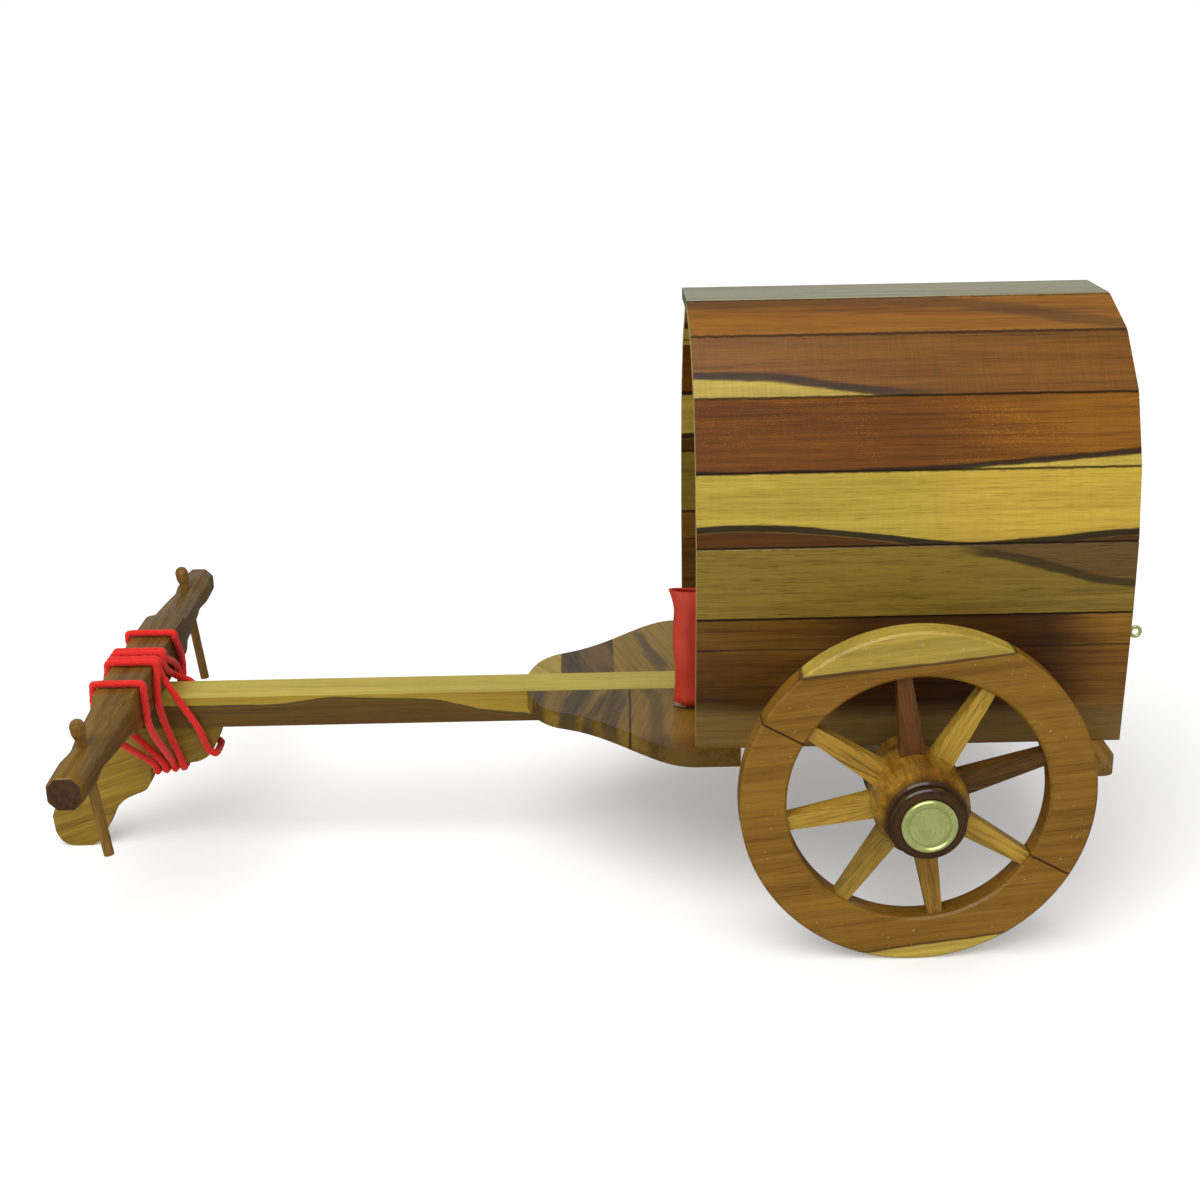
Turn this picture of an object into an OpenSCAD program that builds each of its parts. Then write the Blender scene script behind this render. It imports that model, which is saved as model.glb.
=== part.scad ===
// Handmade wooden bullock cart, a desk-top souvenir.
// Millimetres. +X points forward to the yoke, +Y to the cart's left, +Z up.
// The floor is Z = 0; X = 0 is halfway along the cart and Y = 0 is its middle plane.

/* [Wheels] */
// outside diameter of the wheel rim
wheel_d = 88; // [60:1:140]
// radial width of the rim
rim_w = 11.6; // [6:0.2:20]
// thickness of the rim along the axle
rim_t = 7; // [4:0.5:14]
// distance from the middle plane to the outer face of a rim
wheel_y = 77.4; // [60:0.2:120]
// direction of the glued joint between the two halves of a rim
rim_joint_a = 28.7; // [0:0.1:90]
// width of a spoke where it leaves the hub
spoke_w_hub = 6.2; // [3:0.1:9]
// width of a spoke where it enters the rim
spoke_w_rim = 3.5; // [2:0.1:6]
// thickness of a spoke along the axle
spoke_t = 4; // [2:0.1:6]
// directions of the spokes of the left wheel, set by eye by the maker
spoke_a = [82, 120, 162, 212, 260, 304, 349, 34];

/* [Hubs and axle] */
// largest diameter of the hub barrel
hub_d = 23.6; // [14:0.2:36]
// diameter of the hub's outer end
hub_nose_d = 18.4; // [10:0.2:30]
// how far the hub stands out of the rim's outer face
hub_out = 13.3; // [4:0.2:30]
// diameter of the hub's inner end
hub_tail_d = 15; // [10:0.2:30]
// diameter of the wooden axle
axle_d = 4.4; // [3:0.1:12]
// all-round running clearance of a hub on the axle
axle_clear = 0.05; // [0.02:0.01:0.10]
// play left at each end of a hub
end_play = 0.4; // [0.2:0.05:1.5]
// diameter of the brass pin head on the end of the axle
brass_d = 13.4; // [8:0.1:20]
// thickness of the brass pin head
brass_t = 0.9; // [0.5:0.1:2]

/* [Deck] */
// height of the deck's upper face above the floor
deck_z = 46.8; // [30:0.2:80]
// thickness of the deck boards
deck_t = 4.8; // [2:0.1:10]
// width of the deck
deck_w = 100.8; // [60:0.2:160]
// distance from the axle to the deck's pointed front end
deck_nose = 97.8; // [60:0.2:150]
// distance from the axle to the deck's square rear end
deck_back = 41.3; // [20:0.1:60]
// width of the rear cross board
tail_w = 121.8; // [80:0.2:170]
// length of the rear cross board along the cart
tail_l = 13; // [6:0.5:30]
// distance from the axle to the rear face of the cross board
tail_x = 53.1; // [40:0.1:90]

/* [Pole, yoke and prop] */
// width of the pole
pole_w = 13.2; // [6:0.2:24]
// depth of the pole
pole_h = 9.0; // [5:0.2:18]
// distance from the axle to the pole's front end
pole_nose = 214.5; // [150:0.2:260]
// distance from the axle to the middle of the yoke
yoke_x = 207; // [140:0.5:250]
// full length of the yoke
yoke_l = 163.6; // [90:1:220]
// side of the yoke's square middle
yoke_sq = 11.4; // [6:0.2:18]
// length of the yoke's square middle
yoke_mid_l = 60; // [20:1:90]
// diameter of the yoke's arms next to the square middle
yoke_d = 11.2; // [5:0.2:18]
// diameter of the yoke's arms at their ends
yoke_end_d = 10; // [4:0.2:16]
// distance of a yoke pin from the middle plane
yoke_pin_y = 61.8; // [30:0.5:100]
// diameter of a yoke pin
yoke_pin_d = 2.7; // [1.5:0.1:5]
// length of a yoke pin
yoke_pin_l = 37.6; // [15:0.5:60]
// forward lean of a yoke pin's top
yoke_pin_a = 6.7; // [0:0.1:20]
// thickness of the prop board under the pole
prop_t = 7; // [3:0.5:14]
// distance from the axle to the prop's foremost point
prop_nose = 236.6; // [200:0.2:280]
// diameter of the lashing cord
cord_d = 2.1; // [1.5:0.1:5]

/* [Body] */
// distance from the axle to the body's front edge
body_front = 52.9; // [30:0.1:90]
// distance from the axle to the body's rear edge
body_back = 57.2; // [30:0.1:90]
// how much shorter the right-hand boards are at the front
right_short = 1.9; // [0:0.1:6]
// outside width of the body at the deck
body_w = 98.6; // [60:0.2:140]
// outside width of the body where the side boards end
body_top_w = 103.2; // [60:0.2:140]
// height of a side board
side_h = 36; // [20:0.2:60]
// thickness of a side board
side_t = 4; // [2:0.1:8]
// width of a roof plank
plank_w = 18.7; // [8:0.1:30]
// thickness of a roof plank
plank_t = 3; // [1.5:0.1:6]
// lean of each plank from upright, from the side board up
plank_a = [0, 8, 22.6, 45.7, 70];
// small bevel along the edges of the planks
bevel = 0.4; // [0:0.1:1]
// thickness of the floor board
floor_t = 3; // [1.5:0.1:8]

/* [Axle block and fittings] */
// width of the axle block along the cart
block_w = 19.4; // [10:0.2:40]
// depth of the axle block below the deck's upper face
block_h = 12; // [8:0.2:30]
// length of the axle block across the cart
block_l = 106; // [60:0.5:140]
// how far the red cover strip stands in front of the body
cover_out = 5.8; // [0:0.1:12]
// height of the red cover strip
cover_h = 34; // [10:0.5:60]
// thickness of the red cover strip
cover_t = 0.8; // [0.4:0.1:2]
// depth of the red cover strip along the cart
cover_l = 14; // [6:0.5:30]
// outside diameter of an eye at the rear
eye_d = 3.4; // [2:0.1:8]
// wire diameter of an eye
eye_wire = 0.9; // [0.5:0.1:2]

/* [Hidden] */
$fn = 72;
R = wheel_d/2;
rim_in = R - rim_w;
cx = (body_back + eye_d - prop_nose)/2;
// width of a glued joint
glue = 0.02;
// how deep an eye's shank goes into its board
shank = 3;
hub_in_y = block_l/2 + end_play;
hub_out_y = wheel_y + hub_out;
axle_end_y = hub_out_y + end_play;
deck_under = deck_z - deck_t;
pole_under = deck_z - pole_h;
yoke_z = deck_z + yoke_sq/2;
eye_z = deck_z + 0.83*side_h;
eye_y = body_w/2 - side_t/2 + 0.83*(body_top_w - body_w)/2;

// ---- helpers -------------------------------------------------------------

// s = 1 keeps a piece on the left of the cart, s = -1 puts it on the right
module side(s) { if (s > 0) children(); else mirror([0, 1, 0]) children(); }

// an outline drawn in X and Z, given thickness t about the middle plane
module upright(t) { translate([0, t/2, 0]) rotate([90, 0, 0]) linear_extrude(t) children(); }

// an outline drawn in Y and Z, run from x0 to x1
module lengthwise(x0, x1) { translate([x0, 0, 0]) rotate([90, 0, 90]) linear_extrude(x1 - x0) children(); }

// a turned piece about the axle line; its profile is [radius, distance from the middle plane]
module turned(pts) { translate([cx, 0, R]) rotate([-90, 0, 0]) rotate_extrude() polygon(pts); }

function bez(a, b, c, d, n) = [for (i = [1 : n]) let(t = i/n, u = 1 - t)
  u*u*u*a + 3*u*u*t*b + 3*u*t*t*c + t*t*t*d];

// ---- deck ----------------------------------------------------------------

nose_w = 23.5;
function deck_edge() = concat(
  [[deck_nose, 0], [deck_nose, pole_w/2]],
  bez([deck_nose, pole_w/2], [deck_nose - 1.5, 15], [deck_nose - 5, nose_w - 2], [deck_nose - 11, nose_w], 8),
  bez([deck_nose - 11, nose_w], [deck_nose - 26, nose_w + 7], [body_front + 11, deck_w/2],
      [body_front, deck_w/2], 14),
  [[deck_back, deck_w/2], [deck_back, 0]]);

module deck_outline() { polygon([for (p = deck_edge()) [p[0] + cx, p[1]]]); }

module deck_part(x0, x1) {
  translate([0, 0, deck_under]) linear_extrude(deck_t) intersection() {
    deck_outline();
    translate([cx + x0, pole_w/2]) square([x1 - x0, deck_w]);
  }
}

tip_x = deck_nose - 9.4; mid_x = deck_nose - 24.9;
module deck_left() { color("#7d6a45") deck_part(0, deck_nose); }
module deck_right_tip() { color("#b79a55") side(-1) deck_part(tip_x, deck_nose); }
module deck_right_mid() { color("#6a5436") side(-1) deck_part(mid_x, tip_x); }
module deck_right_rear() { color("#a3854a") side(-1) deck_part(deck_back, mid_x); }

module pole() {
  color("#c8ac5a") translate([cx - tail_x + tail_l, -pole_w/2, pole_under])
    difference() {
      cube([pole_nose + tail_x - tail_l, pole_w, pole_h]);
      // the axle crosses the pole
      translate([tail_x - tail_l, pole_w/2, R - pole_under]) rotate([90, 0, 0])
        cylinder(d = axle_d, h = pole_w + 2, center = true);
    }
}

module floor_board() {
  color("#8a6a3c") translate([cx - body_back, -(body_w/2 - side_t), deck_z])
    cube([body_back + deck_back, body_w - 2*side_t, floor_t]);
}

module tail_board() {
  r = 3;
  color("#6f4f2d") translate([cx - tail_x, -tail_w/2, deck_under]) linear_extrude(deck_t)
    difference() {
      square([tail_l, tail_w]);
      for (k = [0, 1]) translate([0, k*tail_w]) mirror([0, k]) difference() {
        translate([-1, -1]) square([r + 1, r + 1]);
        translate([r, r]) circle(r, $fn = 32);
      }
    }
}

module axle_block() {
  color("#5e4c33") difference() {
    translate([0, block_l/2, 0]) rotate([90, 0, 0]) linear_extrude(block_l)
      polygon([[cx - block_w/2, deck_z], [cx + block_w/2, deck_z],
        [cx + block_w/2 - 1.3, deck_z - block_h], [cx - block_w/2 + 1.3, deck_z - block_h]]);
    translate([cx, 0, R]) rotate([90, 0, 0]) cylinder(d = axle_d, h = block_l + 2, center = true);
    // slot for the pole
    translate([cx - block_w, -pole_w/2, pole_under]) cube([2*block_w, pole_w, pole_h + 1]);
  }
}

module axle() {
  color("#9c7a48") translate([cx, 0, R]) rotate([90, 0, 0]) cylinder(d = axle_d, h = 2*axle_end_y, center = true);
}

// ---- body ----------------------------------------------------------------

module side_board(short = 0) {
  difference() {
    lengthwise(cx - body_back, cx + body_front - short)
      polygon([[body_w/2 - side_t, deck_z], [body_w/2, deck_z], [body_top_w/2, deck_z + side_h],
        [body_top_w/2 - side_t, deck_z + side_h]]);
    translate([cx - body_back - 1, eye_y, eye_z]) rotate([0, 90, 0])
      cylinder(d = eye_wire + 2*glue, h = 1 + shank + glue, $fn = 16);
  }
}

// corner number k of the roof's outside line, from the side board up
function roof_y(k) = k == 0 ? body_top_w/2 : roof_y(k - 1) - plank_w*sin(plank_a[k - 1]);
function roof_z(k) = k == 0 ? deck_z + side_h : roof_z(k - 1) + plank_w*cos(plank_a[k - 1]);
function lean(k) = k < 0 ? 0 : k > 4 ? 90 : plank_a[k];
// where the inside corner lies: along the line that halves the angle
function in_y(k) = roof_y(k) - plank_t*cos((lean(k - 1) + lean(k))/2)/cos((lean(k) - lean(k - 1))/2);
function in_z(k) = roof_z(k) - plank_t*sin((lean(k - 1) + lean(k))/2)/cos((lean(k) - lean(k - 1))/2);

function toward(a, b, d) = a + (b - a)*d/norm(b - a);

module plank(k, short = 0) {
  a = [roof_y(k), roof_z(k)]; b = [roof_y(k + 1), roof_z(k + 1)];
  c = [in_y(k + 1), in_z(k + 1)]; d = [in_y(k), in_z(k)];
  lengthwise(cx - body_back, cx + body_front - short)
    polygon([toward(a, b, bevel), toward(b, a, bevel), toward(b, c, bevel), c, d, toward(a, d, bevel)]);
}

module top_plank() {
  y = roof_y(5); z = roof_z(5); yi = in_y(5); zi = in_z(5);
  a = [-y, z]; b = [y, z]; c = [yi, zi]; d = [-yi, zi];
  lengthwise(cx - body_back, cx + body_front)
    polygon([toward(a, b, bevel), toward(b, a, bevel), toward(b, c, bevel), c, d, toward(a, d, bevel)]);
}

// ---- yoke and prop -------------------------------------------------------

module yoke() {
  m = yoke_mid_l/2; l = yoke_l/2;
  color("#6e5a3a") translate([cx + yoke_x, 0, yoke_z]) difference() {
    union() {
      translate([-yoke_sq/2, -m, -yoke_sq/2]) cube([yoke_sq, yoke_mid_l, yoke_sq]);
      for (s = [-1, 1]) rotate([-90*s, 0, 0]) rotate_extrude()
        polygon([[0, m - 4], [yoke_d/2, m - 4], [yoke_d/2, m + 6], [yoke_d/2 - 0.3, m + 16],
          [yoke_end_d/2 - 0.2, yoke_pin_y - 6], [yoke_end_d/2 - 0.3, yoke_pin_y + 2], [yoke_end_d/2, l - 11],
          [yoke_end_d/2, l - 5.5], [yoke_end_d/2 - 0.5, l - 2.6], [yoke_end_d/2 - 1.4, l - 0.6],
          [yoke_end_d/2 - 2, l], [0, l]]);
    }
    for (s = [-1, 1]) translate([0, s*yoke_pin_y, 0]) rotate([0, yoke_pin_a, 0])
      cylinder(d = yoke_pin_d, h = 40, center = true, $fn = 32);
  }
}

module yoke_pin(s) {
  color("#8a6b3a") translate([cx + yoke_x, s*yoke_pin_y, yoke_z]) rotate([0, yoke_pin_a, 0])
    rotate_extrude($fn = 32) polygon([[0, -yoke_pin_l*0.7], [yoke_pin_d/2, -yoke_pin_l*0.7],
      [yoke_pin_d/2, yoke_d/2 + 0.4], [yoke_pin_d/2 + 0.55, yoke_d/2 + 1.8], [yoke_pin_d/2 + 0.65, yoke_pin_l*0.3 - 1.6],
      [yoke_pin_d/2 + 0.2, yoke_pin_l*0.3 - 0.5], [yoke_pin_d/2 - 0.5, yoke_pin_l*0.3], [0, yoke_pin_l*0.3]]);
}

module prop() {
  f = prop_nose; z0 = pole_under; b = f - 43.5;
  color("#b08c48") translate([cx, 0, 0]) upright(prop_t)
    polygon(concat(
      [[f - 51.6, z0], [pole_nose, z0]],
      bez([pole_nose, z0], [pole_nose + 10, 31], [f - 3, 20], [f, 9.5], 10), [[f - 0.4, 4.8]],
      bez([f - 0.4, 4.8], [f - 1.2, 1.8], [f - 3, 0], [f - 6.5, 0], 6), [[f - 10.6, 0]],
      bez([f - 10.6, 0], [f - 14.5, 1.5], [f - 16, 7], [f - 18.2, 10.6], 6),
      bez([f - 18.2, 10.6], [f - 21, 15.4], [f - 24, 15.4], [f - 27.4, 17], 6),
      bez([f - 27.4, 17], [f - 29.2, 18.2], [f - 29.8, 20], [f - 29.8, 24], 5),
      [[b, prop_z(b)]],
      bez([b, prop_z(b)], [f - 47.6, 27], [f - 49.2, 30], [f - 51.6, z0], 8)));
}

// ---- lashing -------------------------------------------------------------

// v made square to the direction t
function square_to(v, t) = let(w = v - (v*t)*t) w/norm(w);

// a closed cord through the points of p; n is the number of sides
module cord(p, r, n = 10) {
  m = len(p);
  t = [for (i = [0 : m - 1]) let(d = p[(i + 1) % m] - p[(i + m - 1) % m]) d/norm(d)];
  // a side direction carried along the cord, and how far it has turned when it comes back
  u = [for (i = 0, v = square_to([0, 1, 0.1], t[0]); i <= m; v = square_to(v, t[(i + 1) % m]), i = i + 1) v];
  turned = atan2(u[m]*cross(t[0], u[0]), u[m]*u[0]);
  pts = [for (i = [0 : m - 1]) let(w = cross(t[i], u[i])) for (j = [0 : n - 1])
    let(a = 360*j/n - turned*i/m) p[i] + r*(cos(a)*u[i] + sin(a)*w)];
  faces = [for (i = [0 : m - 1]) for (j = [0 : n - 1]) let(a = i*n + j, b = i*n + (j + 1) % n,
      c = ((i + 1) % m)*n + (j + 1) % n, d = ((i + 1) % m)*n + j) each [[a, b, c], [a, c, d]]];
  polyhedron(pts, faces, convexity = 10);
}

// height of the prop's underside where the cord crosses it, x from the axle
function prop_z(x) = 24 + (prop_nose - 29.8 - x)*0.139;

// over the yoke from its rear face to its front face, at y
function over(y, y_low) = let(a = yoke_sq/2, r = cord_d/2, k = r*0.82) [for (p = [
    [-a - r, y_low, -a + 0.5], [-a - r, y, a - 0.5], [-a - k, y, a + k], [-a + 0.5, y, a + r], [0, y, a + r],
    [a - 0.5, y, a + r], [a + k, y, a + k], [a + r, y, a - 0.5], [a + r, y_low, -a + 0.5]])
  [yoke_x + p[0], p[1], yoke_z + p[2]]];

// round the prop's edge from side s to the other side; c is a point of the edge, m its outward direction
function round_edge(c, m, s) = let(r = cord_d/2, h = prop_t/2) [for (p = [
    [s*(h + r), -1], [s*(h + 0.7*r), 0.7*r], [s*(h - 1), r], [-s*(h - 1), r], [-s*(h + 0.7*r), 0.7*r],
    [-s*(h + r), -1]]) [c[0] + p[1]*m[0], p[0], c[1] + p[1]*m[1]]];
function under(x, s) = round_edge([x, prop_z(x)], [-0.14, -0.99], s);

function back(p) = [for (i = [len(p) - 1 : -1 : 0]) p[i]];

// one turn: over at y on the left, down in front, under, over at y2, down behind and under again
function turn(y, y_low, y2, y2_low, xf, xr) = concat(over(y, y_low), under(xf, 1), back(over(y2, y2_low)),
  under(xr, -1));

// the turn that hooks the yoke's front edge and runs back to the sloping rear edge of the prop
function hook_turn() = let(a = yoke_sq/2, r = cord_d/2, y = hook_y, y2 = hook_y - 4.3, w = pole_w/2 + r + 0.25,
    c = [prop_nose - 48.4, 29.2], m = [-0.84, -0.54])
  concat([[c[0] + 2.8, w, pole_under + 0.5], [c[0] + 6.9, w + 0.2, deck_z - 1]],
    [for (p = [[-a - r, y + 0.1, a - 2], [-a - 0.8*r, y, a + 0.8*r], [-a + 0.5, y, a + r], [a - 0.5, y, a + r],
      [a + 0.8*r, y - 0.4, a + 0.8*r], [a + r, y - 1, a - 0.8], [a + r, y2 + 1, a - 0.8],
      [a + 0.8*r, y2 + 0.4, a + 0.8*r], [a - 0.5, y2, a + r], [-a + 0.5, y2, a + r],
      [-a - 0.8*r, y2 - 0.3, a + 0.8*r], [-a - r, y2 - 0.6, a - 2], [-a - r, -w - 0.2, -a + 1.6]])
      [yoke_x + p[0], p[1], yoke_z + p[2]]],
    [[c[0] + 6.9, -w, deck_z - 1], [c[0] + 2.8, -w, pole_under + 0.5]],
    round_edge(c, m, -1));

lash_x = prop_nose - 31.8;
lash_p = cord_d + 0.45;
hook_y = 8.2;
module turn_of_cord(p) { color("#d6261f") cord([for (q = p) q + [cx, 0, 0]], cord_d/2); }
module lashing_wide() { turn_of_cord(turn(26.5, 25, -13.5, -19.6, lash_x, lash_x - 2*lash_p)); }
module lashing_mid() { turn_of_cord(turn(hook_y + 2.4, 12.2, hook_y - 6.8, -13.7, lash_x - lash_p, lash_x - 3*lash_p)); }
module lashing_hook() { turn_of_cord(hook_turn()); }

// ---- fittings ------------------------------------------------------------

module cover() {
  w = 8.6; y = 20.5;
  color("#c8202a") translate([cx + body_front + cover_out - cover_l, y, deck_z]) linear_extrude(cover_h)
    difference() {
      union() {
        translate([0, -w/2]) square([cover_l - w/2, w]);
        translate([cover_l - w/2, 0]) circle(d = w);
      }
      translate([-1, -w/2 + cover_t]) square([cover_l - w/2 + 1, w - 2*cover_t]);
      translate([cover_l - w/2, 0]) circle(d = w - 2*cover_t);
    }
}

module eyes() {
  color("#b98b4a") for (s = [-1, 1]) translate([cx - body_back, s*eye_y, eye_z]) {
    translate([-eye_d/2, 0, 0]) rotate([90, 0, 0])
      rotate_extrude($fn = 32) translate([(eye_d - eye_wire)/2, 0]) circle(d = eye_wire, $fn = 16);
    translate([-eye_wire/2, 0, 0]) rotate([0, 90, 0]) cylinder(d = eye_wire, h = eye_wire/2 + shank, $fn = 16);
  }
}

// ---- wheels --------------------------------------------------------------

// half a rim of the left wheel; up = 1 for the upper half
module half_rim(up) {
  c = 0.6;
  intersection() {
    turned([[rim_in, wheel_y - rim_t + c], [rim_in + c, wheel_y - rim_t], [R - c, wheel_y - rim_t],
      [R, wheel_y - rim_t + c], [R, wheel_y - c], [R - c, wheel_y], [rim_in + c, wheel_y], [rim_in, wheel_y - c]]);
    translate([cx, wheel_y - rim_t/2, R]) rotate([0, -rim_joint_a, 0])
      translate([-R - 1, -rim_t, up > 0 ? 0 : -R - 1]) cube([2*R + 2, 2*rim_t, R + 1]);
  }
}

module spoke_set() {
  r0 = hub_d/2 - 1; r1 = rim_in + 1;
  // the ends are shaped to the hub and to the rim
  translate([cx, wheel_y - rim_t/2 + spoke_t/2, R]) rotate([90, 0, 0]) intersection() {
    difference() {
      for (a = spoke_a) rotate([0, 0, a]) linear_extrude(spoke_t)
        polygon([[r0, -spoke_w_hub/2], [r1, -spoke_w_rim/2], [r1, spoke_w_rim/2], [r0, spoke_w_hub/2]]);
      translate([0, 0, -1]) cylinder(r = hub_d/2 + glue, h = spoke_t + 2);
    }
    translate([0, 0, -1]) cylinder(r = rim_in - glue, h = spoke_t + 2);
  }
}

module hub() {
  a = axle_d/2 + axle_clear; b = hub_d/2; n = hub_nose_d/2; t = hub_tail_d/2;
  y0 = hub_in_y; y1 = hub_out_y; yr = wheel_y - rim_t;
  turned([[a, y0], [t - 0.6, y0], [t, y0 + 0.6], [t + 0.6, y0 + 6], [b - 1.4, yr - 3.4], [b - 0.3, yr - 1.2],
    [b, yr + 0.5], [b, wheel_y + 3.6], [b - 0.4, y1 - 7], [b - 1.3, y1 - 4.6], [n + 0.7, y1 - 2.9],
    [n + 0.3, y1 - 2.4], [n - 0.4, y1 - 2.3], [n - 0.4, y1 - 1.7], [n, y1 - 1.6], [n, y1 - 0.4], [n - 0.4, y1],
    [a, y1]]);
}

module brass() {
  y = axle_end_y; r = brass_d/2; t = brass_t;
  turned([[0, y], [r, y], [r, y + t - 0.25], [r - 0.25, y + t], [r - 0.75, y + t], [r - 1.1, y + t - 0.3],
    [0, y + t - 0.3]]);
}

// ---- build ---------------------------------------------------------------

WOOD_A = "#9a6f35"; WOOD_B = "#7b4a22"; WOOD_C = "#a98f4c"; WOOD_D = "#5a3a1e";

module side_left() { color(WOOD_D) side_board(); }
module side_right() { color(WOOD_D) side(-1) side_board(right_short); }
module plank_top() { color(WOOD_C) top_plank(); }
module plank_left_a() { color(WOOD_C) plank(0); }
module plank_left_b() { color(WOOD_C) plank(1); }
module plank_left_c() { color(WOOD_D) plank(2); }
module plank_left_d() { color(WOOD_A) plank(3); }
module plank_left_e() { color(WOOD_A) plank(4); }
module plank_right_a() { color(WOOD_C) side(-1) plank(0, right_short); }
module plank_right_b() { color(WOOD_C) side(-1) plank(1, right_short); }
module plank_right_c() { color(WOOD_D) side(-1) plank(2, right_short); }
module plank_right_d() { color(WOOD_A) side(-1) plank(3, right_short); }
module plank_right_e() { color(WOOD_A) side(-1) plank(4, right_short); }
module yoke_pin_left() { yoke_pin(1); }
module yoke_pin_right() { yoke_pin(-1); }
module rim_left_upper() { color(WOOD_A) half_rim(1); }
module rim_left_lower() { color(WOOD_A) half_rim(-1); }
module spokes_left() { color(WOOD_C) spoke_set(); }
module hub_left() { color(WOOD_B) hub(); }
module rim_right_upper() { color(WOOD_A) side(-1) half_rim(1); }
module rim_right_lower() { color(WOOD_A) side(-1) half_rim(-1); }
module spokes_right() { color(WOOD_C) side(-1) spoke_set(); }
module hub_right() { color(WOOD_B) side(-1) hub(); }
module brass_left() { color("#b5a642") brass(); }
module brass_right() { color("#b5a642") side(-1) brass(); }

pole();
deck_left();
deck_right_tip();
deck_right_mid();
deck_right_rear();
floor_board();
tail_board();
axle_block();
axle();
side_left();
side_right();
plank_top();
plank_left_a();
plank_left_b();
plank_left_c();
plank_left_d();
plank_left_e();
plank_right_a();
plank_right_b();
plank_right_c();
plank_right_d();
plank_right_e();
yoke();
yoke_pin_left();
yoke_pin_right();
prop();
lashing_wide();
lashing_mid();
lashing_hook();
cover();
eyes();
rim_left_upper();
rim_left_lower();
spokes_left();
hub_left();
rim_right_upper();
rim_right_lower();
spokes_right();
hub_right();
brass_left();
brass_right();
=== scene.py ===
import math
import bpy
from mathutils import Matrix, Vector


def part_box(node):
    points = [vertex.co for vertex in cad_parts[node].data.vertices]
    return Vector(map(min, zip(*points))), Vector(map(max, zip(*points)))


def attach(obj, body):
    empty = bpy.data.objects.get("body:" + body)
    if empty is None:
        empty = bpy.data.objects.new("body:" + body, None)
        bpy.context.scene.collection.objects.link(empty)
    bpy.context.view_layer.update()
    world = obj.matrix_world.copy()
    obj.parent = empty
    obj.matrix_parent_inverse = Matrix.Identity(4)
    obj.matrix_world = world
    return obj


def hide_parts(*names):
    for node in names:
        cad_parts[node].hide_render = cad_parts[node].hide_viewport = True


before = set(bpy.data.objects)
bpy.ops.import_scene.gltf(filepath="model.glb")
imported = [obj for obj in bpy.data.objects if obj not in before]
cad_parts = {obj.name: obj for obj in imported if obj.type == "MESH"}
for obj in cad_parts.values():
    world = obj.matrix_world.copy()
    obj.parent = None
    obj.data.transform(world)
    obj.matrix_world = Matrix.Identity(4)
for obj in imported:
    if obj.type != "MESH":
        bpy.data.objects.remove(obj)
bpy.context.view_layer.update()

scene = bpy.context.scene
AXLE_X, AXLE_Z = -0.088, 0.044
# Heights where the side board and the roof boards meet, from the bottom up.
SEAM = (0.0828, 0.1015, 0.1200, 0.1373, 0.1503, 0.1567)
RIM_JOINT = 28.7                # degrees from +X to the joint of a rim's two halves


# ---- camera, floor and lights ------------------------------------------------

def look(pitch, yaw, roll):
    """Turns a camera that looks towards -Y."""
    p, y, r = (math.radians(v) for v in (pitch, yaw, roll))
    ahead = Vector((-math.sin(y) * math.cos(p), -math.cos(y) * math.cos(p), -math.sin(p)))
    right = Vector((-math.cos(y), math.sin(y), 0))
    up = right.cross(ahead)
    right, up = right * math.cos(r) + up * math.sin(r), up * math.cos(r) - right * math.sin(r)
    return Matrix((right, up, -ahead)).transposed()


bpy.ops.object.camera_add(location=(-0.00801, 0.47039, 0.23256))
camera = bpy.context.object
camera.name = "camera"
camera.rotation_mode = "QUATERNION"
camera.rotation_quaternion = look(18.930, 0.397, -1.045).to_quaternion()
camera.data.sensor_width = 36
camera.data.lens = 53.06
camera.data.clip_start = 0.01
scene.camera = camera


def lamp(name, place, aim, size, power):
    bpy.ops.object.light_add(type="AREA", location=place)
    o = bpy.context.object
    o.name = name
    o.data.shape = "RECTANGLE"
    o.data.size, o.data.size_y = size
    o.data.energy = power
    o.rotation_mode = "QUATERNION"
    o.rotation_quaternion = (Vector(place) - Vector(aim)).to_track_quat("Z", "Y")


lamp("strip_over", (0.05, -0.20, 0.75), (0, 0, 0.08), (0.9, 0.10), 0.12)
lamp("soft_box_front", (0.35, 0.70, 0.62), (0, 0, 0.07), (0.5, 0.4), 1.3)
bpy.ops.object.light_add(type="SUN", location=(0.1, 0.3, 1))
key = bpy.context.object
key.name = "key"
key.data.energy = 1.75
key.data.angle = math.radians(50)
key.rotation_mode = "QUATERNION"
key.rotation_quaternion = Vector((0.22, 0.50, 1.0)).to_track_quat("Z", "Y")


def by_ray(tree, seen, mirrored, lit):
    """One value for what is seen straight, one for reflections and one for the light that falls on the cart."""
    ray = tree.nodes.new("ShaderNodeLightPath")
    value = lit
    for flag, other in (("Is Glossy Ray", mirrored), ("Is Camera Ray", seen)):
        pick = tree.nodes.new("ShaderNodeMix")
        tree.links.new(ray.outputs[flag], pick.inputs[0])
        for socket, v in ((pick.inputs[2], value), (pick.inputs[3], other)):
            if isinstance(v, bpy.types.NodeSocket):
                tree.links.new(v, socket)
            else:
                socket.default_value = v
        value = pick.outputs[0]
    return value


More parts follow.
